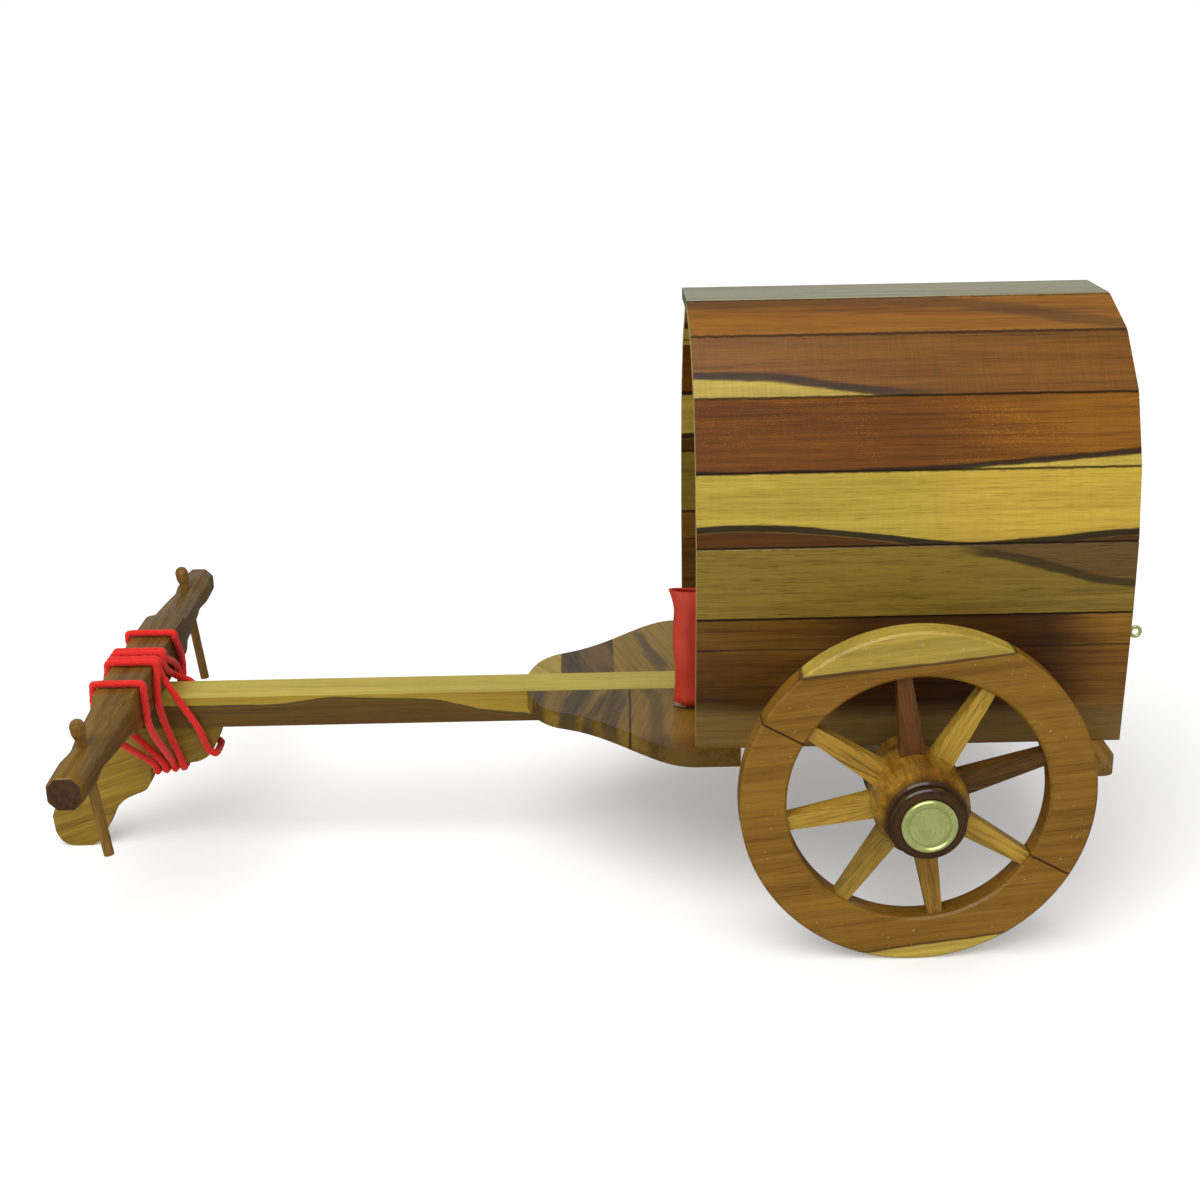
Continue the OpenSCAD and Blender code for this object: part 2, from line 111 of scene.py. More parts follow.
def studio():
    """A white sweep behind the cart and a dimmer room in front of it."""
    w = bpy.data.worlds.new("studio")
    scene.world = w
    w.use_nodes = True
    tree = w.node_tree
    back = tree.nodes["Background"]
    kinds = ("ShaderNodeTexCoord", "ShaderNodeSeparateXYZ", "ShaderNodeMapRange")
    place, split, ramp = (tree.nodes.new(k) for k in kinds)
    tree.links.new(place.outputs["Generated"], split.inputs[0])
    tree.links.new(split.outputs["Y"], ramp.inputs["Value"])
    for k, v in (("From Min", -1.0), ("From Max", -0.2), ("To Min", 0.36), ("To Max", 0.09)):
        ramp.inputs[k].default_value = v
    tree.links.new(by_ray(tree, 1.0, ramp.outputs["Result"], 0.50), back.inputs["Strength"])
    back.inputs["Color"].default_value = (1, 1, 1, 1)


studio()
scene.view_settings.view_transform = "Standard"

bpy.ops.mesh.primitive_plane_add(size=40)
floor = bpy.context.object
floor.name = "floor"


# ---- node helpers ------------------------------------------------------------

class Sheet:
    """A material's node tree, with short calls for the nodes that the finishes use."""

    def __init__(self, name):
        self.mat = bpy.data.materials.new(name)
        self.mat.use_nodes = True
        self.tree = self.mat.node_tree
        self.shader = self.tree.nodes["Principled BSDF"]
        self.place = self.tree.nodes.new("ShaderNodeTexCoord").outputs["Object"]
        self.split = self.node("ShaderNodeSeparateXYZ", Vector=self.place)
        self.x, self.y, self.z = (self.split.outputs[k] for k in "XYZ")
        facing = self.tree.nodes.new("ShaderNodeTexCoord").outputs["Normal"]
        self.facing = self.node("ShaderNodeSeparateXYZ", Vector=facing)

    def node(self, kind, **inputs):
        n = self.tree.nodes.new(kind)
        for key, value in inputs.items():
            self.put(n, key.replace("_", " "), value)
        return n

    def put(self, n, key, value):
        socket = n.inputs[key]
        if isinstance(value, bpy.types.NodeSocket):
            self.tree.links.new(value, socket)
        else:
            socket.default_value = value

    def math(self, op, a, b=0.0, c=0.0):
        n = self.tree.nodes.new("ShaderNodeMath")
        n.operation = op
        for i, v in enumerate((a, b, c)):
            self.put(n, i, v)
        return n.outputs[0]

    def noise(self, vector, scale=1.0, detail=3.0, rough=0.55, warp=0.0):
        n = self.node("ShaderNodeTexNoise", Vector=vector, Scale=scale, Detail=detail, Roughness=rough,
                      Distortion=warp)
        return n.outputs["Fac"]

    def wobble(self, by, size, detail=3, rough=0.55):
        """A noise about zero that makes a drawn line waver."""
        n = self.noise(self.stretch(by), 1, detail, rough)
        return self.math("MULTIPLY", self.math("SUBTRACT", n, 0.5), size)

    def from_axle(self):
        """How far a point is ahead of the axle, above it, and from it."""
        dx = self.math("SUBTRACT", self.x, AXLE_X)
        dz = self.math("SUBTRACT", self.z, AXLE_Z)
        squares = (self.math("MULTIPLY", v, v) for v in (dx, dz))
        return dx, dz, self.math("SQRT", self.math("ADD", *squares))

    def tinted(self, fac, base, factor):
        """`base` multiplied by `factor`, as far as `fac` says."""
        return self.mix(fac, base, self.mix(1.0, base, (*factor, 1), "MULTIPLY"))

    def stretch(self, by, turn=(0, 0, 0), move=(0, 0, 0)):
        n = self.node("ShaderNodeMapping", Vector=self.place)
        n.inputs["Location"].default_value = move
        n.inputs["Rotation"].default_value = [math.radians(v) for v in turn]
        n.inputs["Scale"].default_value = by
        return n.outputs["Vector"]

    def range(self, v, a, b, c=0.0, d=1.0, smooth=False):
        n = self.node("ShaderNodeMapRange")
        n.interpolation_type = "SMOOTHSTEP" if smooth else "LINEAR"
        for i, w in enumerate((v, a, b, c, d)):
            self.put(n, i, w)
        return n.outputs["Result"]

    def ramp(self, v, stops, kind="LINEAR"):
        n = self.node("ShaderNodeValToRGB", Fac=v)
        n.color_ramp.interpolation = kind
        e = n.color_ramp.elements
        while len(e) < len(stops):
            e.new(0.5)
        for s, (at, colour) in zip(e, stops):
            s.position = at
            s.color = (*colour, 1)
        return n.outputs["Color"]

    def mix(self, fac, a, b, kind="MIX"):
        n = self.tree.nodes.new("ShaderNodeMix")
        n.data_type, n.blend_type = "RGBA", kind
        for i, v in ((0, fac), (6, a), (7, b)):
            if isinstance(v, tuple) and len(v) == 3:
                v = (*v, 1)
            self.put(n, i, v)
        return n.outputs[2]

    def curve(self, v, points):
        """A smooth line through (along, height) points, both in metres."""
        x0, x1 = points[0][0], points[-1][0]
        lows = [p[1] for p in points]
        lo, hi = min(lows), max(max(lows), min(lows) + 1e-4)
        n = self.node("ShaderNodeFloatCurve", Value=self.range(v, x0, x1))
        line = n.mapping.curves[0].points
        while len(line) < len(points):
            line.new(0.5, 0.5)
        for p, (a, h) in zip(line, points):
            p.location = ((a - x0) / (x1 - x0), (h - lo) / (hi - lo))
        n.mapping.update()
        return self.range(n.outputs["Value"], 0.0, 1.0, lo, hi)


# ---- varnished wood ----------------------------------------------------------

def wood(name, light, mid, dark, turn=(0, 0, 0), seed=0.0, band=1.0, streak=0.5, pore=0.4, saw=0.25,
         rough=0.42, coat=0.35, gloss=0.10, end=None, end_axis="X", patches=(), scratches=0.0, grain_at=None):
    """Varnished wood. The grain runs along the piece's X after `turn`; patches are laid over the plain colour."""
    s = Sheet(name)
    along = s.stretch((1, 1, 1), turn, (seed, seed * 0.37, seed * 0.71)) if grain_at is None else grain_at(s)

    def scaled(v, by):
        n = s.tree.nodes.new("ShaderNodeVectorMath")
        n.operation = "MULTIPLY"
        s.put(n, 0, v)
        n.inputs[1].default_value = by
        return n.outputs[0]

    wide = s.noise(scaled(along, (7, 70, 70)), 1, 2, 0.5, 0.6)
    rings = s.noise(scaled(along, (9, 330, 330)), 1, 3, 0.55, 1.2)
    fibre = s.noise(scaled(along, (45, 2100, 2100)), 1, 3, 0.65, 0.4)
    fine = s.noise(scaled(along, (180, 7500, 7500)), 1, 2, 0.6)
    dash = s.noise(scaled(along, (150, 4600, 4600)), 1, 2, 0.6, 0.2)
    cut = s.noise(scaled(along, (2600, 60, 60)), 1, 2, 0.5)
    tone = s.math("ADD", s.math("MULTIPLY", wide, 0.55 * band), s.math("MULTIPLY", rings, 0.45 + 0.3 * streak))
    tone = s.math("ADD", tone, s.math("MULTIPLY", s.math("SUBTRACT", fibre, 0.5), 0.55))
    tone = s.math("ADD", tone, s.math("MULTIPLY", s.math("SUBTRACT", fine, 0.5), 0.30))
    colour = s.ramp(tone, ((0.30, dark), (0.52, mid), (0.74, light)))
    for patch in patches:
        colour = patch(s, colour, tone, fibre)
    pores = s.range(dash, 0.56, 0.70)
    colour = s.mix(s.math("MULTIPLY", pores, pore), colour, s.mix(1.0, colour, (0.38, 0.30, 0.22), "MULTIPLY"))
    sawn = s.math("MULTIPLY", s.math("SUBTRACT", cut, 0.5), saw)
    colour = s.mix(s.math("ABSOLUTE", sawn), colour, (0.0, 0.0, 0.0))
    if end:
        pith = s.noise(scaled(s.place, (900, 900, 900)), 1, 3, 0.6)
        cross = s.range(s.math("ABSOLUTE", s.facing.outputs[end_axis]), 0.75, 0.85)
        sawn_end = s.mix(1.0, (*end, 1), s.ramp(pith, ((0.3, (0.6,) * 3), (0.7, (1.2,) * 3))), "MULTIPLY")
        colour = s.mix(cross, colour, sawn_end)
    s.tree.links.new(colour, s.shader.inputs["Base Color"])
    relief = s.math("ADD", s.math("MULTIPLY", fibre, 0.5), s.math("MULTIPLY", cut, 0.35 * saw))
    relief = s.math("SUBTRACT", relief, s.math("MULTIPLY", pores, 0.6))
    if scratches:
        lines = s.noise(scaled(s.stretch((1, 1, 1), (0, 52, 0)), (260, 6000, 6000)), 1, 1, 0.5)
        areas = s.range(s.noise(s.place, 55, 2), 0.42, 0.60)
        thin = s.math("MULTIPLY", s.math("MULTIPLY", s.range(lines, 0.60, 0.70), areas), scratches)
        colour2 = s.mix(thin, colour, s.mix(1.0, colour, (2.6, 2.5, 2.0), "MULTIPLY"))
        s.tree.links.new(colour2, s.shader.inputs["Base Color"])
        relief = s.math("SUBTRACT", relief, s.math("MULTIPLY", thin, 0.8))
    b = s.node("ShaderNodeBump", Height=relief, Strength=0.35, Distance=0.00012)
    s.tree.links.new(b.outputs[0], s.shader.inputs["Normal"])
    lacquer = s.noise(s.place, 420, 3, 0.5)
    c = s.node("ShaderNodeBump", Height=s.math("ADD", lacquer, s.math("MULTIPLY", relief, 0.30)), Strength=0.16,
               Distance=0.00025)
    s.tree.links.new(c.outputs[0], s.shader.inputs["Coat Normal"])
    s.put(s.shader, "Roughness", s.range(fibre, 0.3, 0.7, rough + 0.08, rough - 0.06))
    s.shader.inputs["Coat Weight"].default_value = coat
    s.shader.inputs["Coat Roughness"].default_value = gloss
    s.shader.inputs["Coat IOR"].default_value = 1.45
    s.shader.inputs["Specular IOR Level"].default_value = 0.22
    return s.mat


def below(line, colour, soft=0.0006, wobble=0.0004, amount=1.0, upper=None, vary=0.35):
    """Lays `colour` on the part of a board under a line of (x, z) points, and above `upper` where that is given."""
    def patch(s, base, tone, fibre):
        w = s.wobble((60, 260, 260), wobble * 4)
        h = s.math("ADD", s.z, w)
        m = s.range(s.math("SUBTRACT", s.curve(s.x, line), h), -soft, soft, smooth=True)
        if upper:
            m = s.math("MULTIPLY", m, s.range(s.math("SUBTRACT", h, s.curve(s.x, upper)), -soft, soft, smooth=True))
        shade = s.mix(1.0, (*colour, 1), s.ramp(tone, ((0.25, (1 - vary,) * 3), (0.8, (1 + vary,) * 3))), "MULTIPLY")
        return s.mix(s.math("MULTIPLY", m, amount), base, shade)
    return patch


def stroke(line, colour, wide=0.0008, amount=0.9, soft=0.0006, fade=None):
    """Draws a dark or light vein along a line of (x, z) points."""
    def patch(s, base, tone, fibre):
        w = s.wobble((60, 260, 260), 0.0016)
        d = s.math("ABSOLUTE", s.math("SUBTRACT", s.curve(s.x, line), s.math("ADD", s.z, w)))
        m = s.math("MULTIPLY", s.range(d, wide + soft, wide, smooth=True), amount)
        if fade:
            m = s.math("MULTIPLY", m, s.range(s.x, fade[0], fade[1], smooth=True))
        return s.mix(m, base, (*colour, 1))
    return patch


def seams(*heights):
    """Dark glue lines where the boards meet."""
    def patch(s, base, tone, fibre):
        for h in heights:
            w = s.wobble((300, 40, 40), 0.0006, 3, 0.7)
            d = s.math("ABSOLUTE", s.math("SUBTRACT", s.math("ADD", s.z, w), h))
            glue = s.math("MULTIPLY", s.range(d, 0.00042, 0.00016, smooth=True), 0.8)
            base = s.mix(glue, base, (0.020, 0.011, 0.005, 1))
        return base
    return patch


def toward(axis, a, b, factor):
    """Shades the board gently by `factor` from a to b along one axis."""
    def patch(s, base, tone, fibre):
        w = s.wobble((40, 160, 160), 0.012)
        m = s.range(s.math("ADD", getattr(s, axis), w), a, b, smooth=True)
        return s.tinted(m, base, factor)
    return patch


def painted_side_shade(factor):
    """Painted shade: darkens the faces that look sideways by `factor`, as if they got less light than the tops."""
    def patch(s, base, tone, fibre):
        m = s.range(s.math("ABSOLUTE", s.facing.outputs["Y"]), 0.6, 0.9)
        return s.tinted(m, base, factor)
    return patch


def vein(line, colour, wide=0.001, amount=0.8, soft=0.001, ends=0.003):
    """A streak across a level board, along a line of (y, x) points; it fades out at both ends."""
    def patch(s, base, tone, fibre):
        w = s.wobble((90, 90, 90), min(0.006, 3 * wide))
        d = s.math("ABSOLUTE", s.math("SUBTRACT", s.curve(s.y, line), s.math("ADD", s.x, w)))
        m = s.math("MULTIPLY", s.range(d, wide + soft, wide, smooth=True), amount)
        m = s.math("MULTIPLY", m, s.range(s.y, line[0][0] - ends, line[0][0] + ends, smooth=True))
        m = s.math("MULTIPLY", m, s.range(s.y, line[-1][0] + ends, line[-1][0] - ends, smooth=True))
        return s.mix(m, base, (*colour, 1))
    return patch


def mm(points):
    return [(x / 1000, z / 1000) for x, z in points]


SAP = (0.45, 0.325, 0.052)
finishes = {
    "plank_top": wood("roof_grey", (0.340, 0.306, 0.120), (0.255, 0.221, 0.078), (0.170, 0.136, 0.042),
                      seed=1.3, coat=1.0, end=(0.3, 0.25, 0.12)),
    "plank_left_e": wood("roof_brown", (0.350, 0.137, 0.0050), (0.248, 0.093, 0.0032), (0.122, 0.039, 0.0015),
                         seed=2.1, end=(0.62, 0.48, 0.16),
                         patches=(stroke(mm([(-150, 151.0), (-132, 152.6), (-117, 154.4), (-90, 156)]),
                                         (0.05, 0.022, 0.008), 0.0006, 0.5, 0.0009),
        seams(*SEAM[4:6]))),
    "plank_left_d": wood("roof_chestnut", (0.227, 0.085, 0.0050), (0.163, 0.059, 0.0032), (0.083, 0.027, 0.0018),
                         seed=3.7, end=(0.66, 0.52, 0.18),
                         saw=0.8, coat=0.12, patches=(
        below(mm([(-150, 136.6), (-95, 137.0), (-80.8, 137.9), (-71, 138.8), (-63, 139.8), (-54.8, 140.6),
                  (-46.6, 141.2), (-35, 141.5)]), SAP),
        stroke(mm([(-150, 136.6), (-95.5, 137.6), (-80.9, 138.5), (-71.1, 139.6), (-54.9, 141.4), (-35, 142.2)]),
               (0.03, 0.016, 0.008), 0.0005, 0.85, 0.0007, fade=(-0.105, -0.08)),
        seams(*SEAM[3:5]))),
    "plank_left_c": wood("roof_dark", (0.194, 0.062, 0.0024), (0.122, 0.036, 0.0012), (0.057, 0.015, 0.0006),
                         seed=4.9, end=(0.66, 0.52, 0.18),
                         scratches=0.8, patches=(
        toward("x", -0.085, -0.135, (1.45, 1.75, 2.0)),
        below(mm([(-150, 123.6), (-145.8, 123.2), (-131.8, 122.4), (-119.5, 121.6), (-103, 120.6), (-88, 119.6),
                  (-30, 118)]), SAP),
        stroke(mm([(-150, 123.9), (-145.8, 123.6), (-131.8, 122.8), (-119.5, 121.9), (-103, 120.9), (-88, 120.2),
                   (-30, 120)]), (0.022, 0.012, 0.006), 0.0004, 0.9, 0.0005),
        seams(*SEAM[2:4]))),
    "plank_left_b": wood("roof_sapwood", (0.530, 0.392, 0.057), (0.424, 0.302, 0.039), (0.265, 0.170, 0.021),
                         seed=6.1, end=(0.72, 0.58, 0.20),
                         pore=0.55, patches=(
        toward("x", -0.075, -0.115, (1.18, 1.10, 1.0)),
        below(mm([(-150, 103.6), (-132.3, 102.5), (-119.9, 101.7), (-103.4, 100.9), (-95.2, 101.3), (-82.8, 102.8),
                  (-70.4, 104.4), (-55.6, 105.6), (-45.8, 105.8), (-35, 105.5)]), (0.085, 0.029, 0.004)),
        stroke(mm([(-150, 104.3), (-132.3, 103.1), (-119.9, 102.2), (-103.4, 101.4), (-95.2, 101.9), (-82.8, 103.5),
                   (-70.4, 105.1), (-55.6, 106.3), (-45.8, 106.5), (-35, 106.2)]), (0.020, 0.012, 0.007), 0.0006,
               0.95, 0.0005),
        seams(*SEAM[1:3]))),
    "plank_left_a": wood("roof_olive", (0.264, 0.171, 0.021), (0.188, 0.114, 0.013), (0.088, 0.050, 0.0063),
                         seed=7.7, end=(0.62, 0.50, 0.17),
                         pore=0.85, streak=1.0, patches=(
        below(mm([(-150, 104), (-97.7, 103), (-60, 103)]), (0.10, 0.048, 0.014), amount=0.85,
              upper=mm([(-150, 91.5), (-145.7, 91.8), (-137.2, 92.5), (-124.5, 95.8), (-111.9, 99.0), (-97.7, 101.6),
                        (-30, 104)])),
        stroke(mm([(-150, 90.2), (-137.2, 91.5), (-124.5, 95.2), (-111.9, 98.2), (-97.7, 101)]),
               (0.03, 0.018, 0.010), 0.0007, 0.8, 0.0009, fade=(-0.098, -0.108)),
        seams(*SEAM[0:2]))),
    "side_left": wood("side_walnut", (0.140, 0.059, 0.0054), (0.081, 0.030, 0.0027), (0.038, 0.012, 0.0015),
                      seed=8.8, end=(0.40, 0.28, 0.09),
                      patches=(
        toward("z", 0.0735, 0.0750, (1.25, 1.4, 1.4)),
        # darker from behind the wheel rearwards: partly the wood's own darker tone, partly a painted shadow of the
        # wheel; the right side board repeats it
        toward("x", -0.058, -0.078, (0.52, 0.42, 0.35)),
        toward("x", -0.122, -0.143, (3.6, 4.6, 4.4)),
        below(mm([(-150, 57), (-100, 56.5), (-30, 59)]), (0.20, 0.125, 0.033), soft=0.0030, amount=0.75),
        stroke(mm([(-150, 74.2), (-30, 74.4)]), (0.02, 0.01, 0.006), 0.0001, 0.7, 0.0003),
        seams(SEAM[0]))),
    "pole": wood("pole_sapwood", (0.588, 0.473, 0.075), (0.483, 0.373, 0.054), (0.347, 0.247, 0.031),
                 seed=9.4, patches=(
        # painted shade: the pole's side faces darker than its top, as light from above would leave them
        painted_side_shade((0.72, 0.62, 0.42)),
        below(mm([(-150, 40), (1.5, 38.6), (11.6, 39.6), (20.8, 40.8), (29.9, 42.7), (38.9, 44.4), (47.2, 44.9),
                  (56.3, 45.3), (61.8, 45.6), (71, 45.0), (80.3, 44.2), (94, 43.7), (112.4, 43.8), (130, 43.6)]),
              (0.110, 0.056, 0.008)),
        stroke(mm([(-150, 40), (1.5, 38.8), (11.6, 39.8), (20.8, 41.0), (29.9, 42.9), (38.9, 44.6), (47.2, 45.1),
                   (56.3, 45.5), (61.8, 45.8), (71, 45.2), (80.3, 44.4), (94, 43.9), (112.4, 44.0), (130, 43.8)]),
               (0.05, 0.03, 0.012), 0.0002, 0.8, 0.0004))),
    "deck_left": wood("deck_grey", (0.240, 0.141, 0.015), (0.147, 0.080, 0.0094), (0.060, 0.030, 0.0042), seed=10.2,
                      turn=(0, 0, -78), gloss=0.08, coat=0.4, patches=(
        vein(mm([(24, -31.5), (52, -32.5)]), (0.24, 0.135, 0.018), 0.0032, 0.8, 0.0014),
        vein(mm([(5, -7.4), (16.5, -3.0), (34, -1.2)]), (0.040, 0.032, 0.018), 0.0016, 0.75, 0.0022),
        vein(mm([(7, -16.8), (25.2, -13.8), (44, -11.4)]), (0.060, 0.034, 0.014), 0.0012, 0.7, 0.0020),
        vein(mm([(11, -12.0), (31, -6.2)]), (0.055, 0.036, 0.018), 0.0007, 0.7, 0.0014),
        vein(mm([(6, -24.0), (28, -26.0), (46, -25.0)]), (0.070, 0.036, 0.012), 0.0010, 0.6, 0.0020),
        vein(mm([(5, 6.0), (20, 7.0)]), (0.045, 0.028, 0.012), 0.0010, 0.7, 0.0020),
        vein(mm([(4, -19.2), (48, -18.2)]), (0.018, 0.011, 0.006), 0.00016, 0.9, 0.0003),
        toward("y", 0.034, 0.050, (0.55, 0.50, 0.45)))),
    "deck_right_tip": wood("deck_light", (0.468, 0.340, 0.060), (0.378, 0.264, 0.043), (0.270, 0.170, 0.025), seed=11.2,
                           turn=(0, 0, 62), gloss=0.08, coat=0.4),
    "deck_right_mid": wood("deck_brown", (0.162, 0.090, 0.016), (0.100, 0.052, 0.0090), (0.043, 0.022, 0.0045),
                           seed=12.5,
                           turn=(0, 0, -104), gloss=0.08, coat=0.4, patches=(
        vein(mm([(-30, -9.2), (-12, -12.4)]), (0.16, 0.070, 0.018), 0.0010, 0.6, 0.0020),
        vein(mm([(-34, -1.0), (-8, -4.0)]), (0.035, 0.024, 0.013), 0.0012, 0.7, 0.0020),
        vein(mm([(-40, -15.0), (-20, -16.5)]), (0.040, 0.026, 0.013), 0.0010, 0.7, 0.0018))),
    "deck_right_rear": wood("deck_tan", (0.312, 0.193, 0.019), (0.227, 0.135, 0.013), (0.123, 0.066, 0.0059), seed=13.1,
                            turn=(0, 0, -104), gloss=0.08, coat=0.4, patches=(
        vein(mm([(-41, -22.0), (-26.6, -25.7), (-10, -29.8)]), (0.085, 0.048, 0.014), 0.0007, 0.8, 0.0012),
        vein(mm([(-22, -24.6), (-4, -30.0)]), (0.105, 0.060, 0.016), 0.0006, 0.7, 0.0012))),
    "floor_board": wood("floor_brown", (0.144, 0.068, 0.014), (0.090, 0.040, 0.0080), (0.045, 0.019, 0.0045),
                        seed=14.6),
    "tail_board": wood("tail_brown", (0.324, 0.182, 0.036), (0.223, 0.119, 0.023), (0.108, 0.053, 0.011), seed=15.2,
                       turn=(0, 0, 90)),
    "axle_block": wood("block_dark", (0.14, 0.10, 0.055), (0.075, 0.052, 0.028), (0.03, 0.02, 0.012), seed=16.4,
                       turn=(0, 0, 90)),
    "axle": wood("axle_wood", (0.280, 0.153, 0.030), (0.200, 0.099, 0.018), (0.100, 0.045, 0.0090), seed=17.0,
                 turn=(0, 0, 90)),
    "yoke": wood("yoke_wood", (0.234, 0.128, 0.014), (0.140, 0.070, 0.0072), (0.059, 0.027, 0.0029), seed=18.3,
                 turn=(0, 0, 90), end=(0.075, 0.032, 0.012), end_axis="Y"),
    "yoke_pin_left": wood("pin_wood", (0.300, 0.156, 0.025), (0.200, 0.097, 0.015), (0.100, 0.044, 0.0075), seed=19.3,
                          turn=(0, 90, 0)),
    "prop": wood("prop_tan", (0.410, 0.265, 0.028), (0.302, 0.185, 0.018), (0.178, 0.100, 0.0096), seed=20.2,
                 turn=(0, -18, 0)),
}


# ---- wheels ------------------------------------------------------------------

def rim_patch(s, base, tone, fibre):
    """The band of pale sapwood across the top of a rim, and the one across its foot."""
    # Each band's edge, in millimetres from the axle.
    for (x0, z0), (x1, z1), way in (((-22.0, 38.1), (29.0, 32.9), 1), ((-23.9, -36.9), (13.6, -41.8), -1)):
        slope = (z1 - z0) / (x1 - x0)
        flat = s.math("SUBTRACT", s.z, s.math("MULTIPLY", s.math("SUBTRACT", s.x, AXLE_X), slope))
        edge = AXLE_Z + (z0 - slope * x0) / 1000
        w = s.wobble((60, 200, 260), 0.0012, 2)
        d = s.math("MULTIPLY", s.math("SUBTRACT", s.math("ADD", flat, w), edge), float(way))
        shade = s.mix(1.0, (0.46, 0.33, 0.052, 1), s.ramp(tone, ((0.3, (0.62,) * 3), (0.75, (1.25,) * 3))), "MULTIPLY")
        base = s.mix(s.range(d, -0.0002, 0.0002), base, shade)
        vein = s.range(s.math("ABSOLUTE", d), 0.0005, 0.0002)
        base = s.mix(s.math("MULTIPLY", vein, 0.8), base, (0.06, 0.03, 0.012, 1))
    lean = math.radians(RIM_JOINT)
    off = s.math("SUBTRACT", s.math("MULTIPLY", s.math("SUBTRACT", s.z, AXLE_Z), math.cos(lean)),
                 s.math("MULTIPLY", s.math("SUBTRACT", s.x, AXLE_X), math.sin(lean)))
    w = s.wobble((400, 50, 50), 0.0004, 3, 0.7)
    glue = s.range(s.math("ABSOLUTE", s.math("ADD", off, w)), 0.00040, 0.00014, smooth=True)
    base = s.mix(s.math("MULTIPLY", glue, 0.9), base, (0.025, 0.012, 0.005, 1))
    specks = s.range(s.noise(s.place, 1300, 1, 0.5), 0.765, 0.80)
    return s.mix(s.math("MULTIPLY", specks, 0.7), base, (0.60, 0.50, 0.30, 1))


def radial(s):
    """Grain that runs out from the axle."""
    dx, dz, r = s.from_axle()
    a = s.math("ARCTAN2", dz, dx)
    n = s.node("ShaderNodeCombineXYZ", X=s.math("ADD", r, s.math("MULTIPLY", a, 0.31)),
               Y=s.math("ADD", s.math("MULTIPLY", a, 0.022), s.math("MULTIPLY", s.y, 0.2)), Z=s.y)
    return n.outputs[0]


def spoke_colour(s, base, tone, fibre):
    """Each spoke is from its own stick."""
    dx, dz, _ = s.from_axle()
    turn = s.math("DIVIDE", s.math("ARCTAN2", dz, dx), 2 * math.pi)
    turn = s.math("FRACT", s.math("ADD", turn, 1.0))
    sticks = ((34, (0.40, 0.225, 0.026)), (82, (0.100, 0.038, 0.008)), (120, (0.36, 0.22, 0.026)),
              (162, (0.105, 0.046, 0.008)), (212, (0.38, 0.225, 0.028)), (260, (0.26, 0.135, 0.016)),
              (304, (0.29, 0.18, 0.022)), (349, (0.38, 0.23, 0.026)))
    stops = [(0.0, sticks[-1][1])]
    for (a0, _), (a1, c1) in zip(((-11, None),) + sticks, sticks):
        stops.append((max(0.001, (a0 + a1) / 720), c1))
    tint = s.ramp(turn, stops, "CONSTANT")
    return s.mix(1.0, tint, s.ramp(tone, ((0.34, (0.34,) * 3), (0.52, (1.0,) * 3), (0.70, (1.42,) * 3))), "MULTIPLY")


def hub_shade(s, base, tone, fibre):
    """Turned barrel: dark stained ends, ring marks from the lathe and a dark end face."""
    dx, dz, r = s.from_axle()
    out = s.math("ABSOLUTE", s.y)
    around = s.noise(s.node("ShaderNodeCombineXYZ", X=s.math("MULTIPLY", dx, 160.0), Y=s.math("MULTIPLY", dz, 160.0),
                            Z=s.math("MULTIPLY", s.y, 60.0)).outputs[0], 1, 3, 0.6)
    base = s.tinted(s.range(around, 0.38, 0.75), base, (0.55, 0.45, 0.40))
    end = s.range(out, 0.0850, 0.0885, smooth=True)
    base = s.mix(s.math("MULTIPLY", end, 0.90), base, (0.022, 0.009, 0.004, 1))
    cup = s.range(s.math("ABSOLUTE", s.math("SUBTRACT", r, 0.0076)), 0.0008, 0.0003)
    base = s.mix(s.math("MULTIPLY", s.math("MULTIPLY", cup, end), 0.5), base, (0.10, 0.036, 0.012, 1))
    lathe = s.node("ShaderNodeCombineXYZ", X=s.math("MULTIPLY", out, 3200.0), Y=s.math("MULTIPLY", r, 2200.0))
    lines = s.noise(lathe.outputs[0], 1, 2)
    return s.tinted(s.math("MULTIPLY", s.range(lines, 0.52, 0.72), 0.6), base, (0.4, 0.32, 0.25))


rim_finish = wood("rim_teak", (0.295, 0.144, 0.013), (0.217, 0.099, 0.0075), (0.127, 0.052, 0.0039), seed=21.7,
                  turn=(0, -6, 0), saw=0.15, patches=(rim_patch,))
spoke_finish = wood("spoke_wood", (0.5, 0.34, 0.09), (0.4, 0.26, 0.06), (0.2, 0.12, 0.03), seed=0, grain_at=radial,
                    patches=(spoke_colour,), pore=0.95)
hub_finish = wood("hub_rosewood", (0.490, 0.272, 0.023), (0.296, 0.145, 0.011), (0.123, 0.053, 0.005), seed=23.4,
                  turn=(0, 0, 90), gloss=0.08, coat=1.0, patches=(hub_shade,))
for side in ("left", "right"):
    finishes["rim_%s_upper" % side] = finishes["rim_%s_lower" % side] = rim_finish
    finishes["spokes_" + side] = spoke_finish
    finishes["hub_" + side] = hub_finish
for k in "abcde":
    finishes["plank_right_" + k] = finishes["plank_left_" + k]
finishes["side_right"] = finishes["side_left"]
finishes["yoke_pin_right"] = finishes["yoke_pin_left"]


# ---- brass, cord and leathercloth --------------------------------------------

